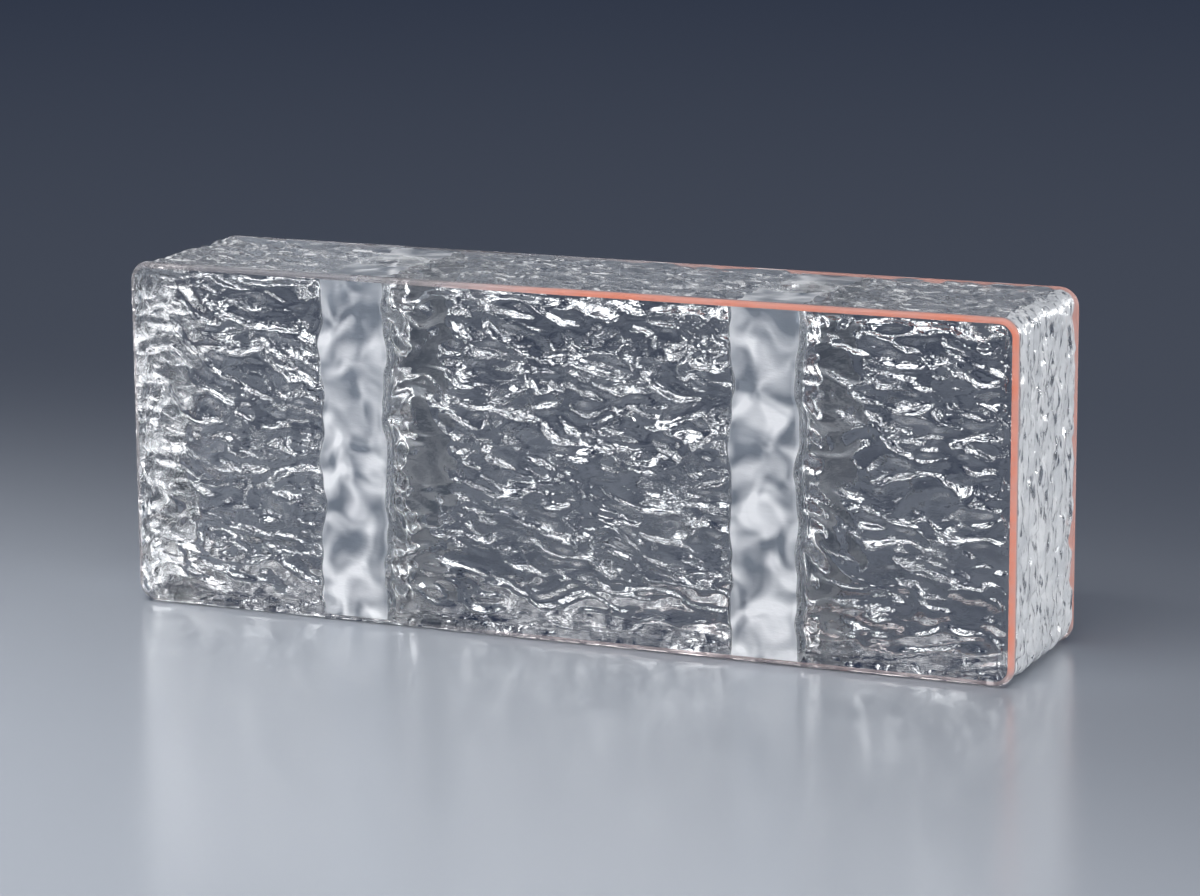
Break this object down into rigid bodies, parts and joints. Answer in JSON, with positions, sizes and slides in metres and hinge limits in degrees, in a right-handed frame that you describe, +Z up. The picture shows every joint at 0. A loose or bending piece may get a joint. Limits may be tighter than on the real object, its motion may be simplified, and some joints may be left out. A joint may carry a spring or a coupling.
{
  "type": "glass block",
  "caption": "Solid clear glass building block with rippled faces, polished coral-tinted edges and frosted upright bands over two bores for reinforcing rods.",
  "frame": {"origin": "middle of the bottom face, on which the block stands as it is laid", "axes": "+X along the block's length, +Y through its thickness from the front clear face to the back one, +Z up its height along the rod bores"},
  "size_m": [0.24, 0.05, 0.09],
  "materials": {
    "clear_glass": "cast, rippled clear faces, frosted bands in front of the ground bores and polished arrises"
  },
  "bodies": {
    "root": {"glass_block": "clear_glass"}
  },
  "joints": []
}
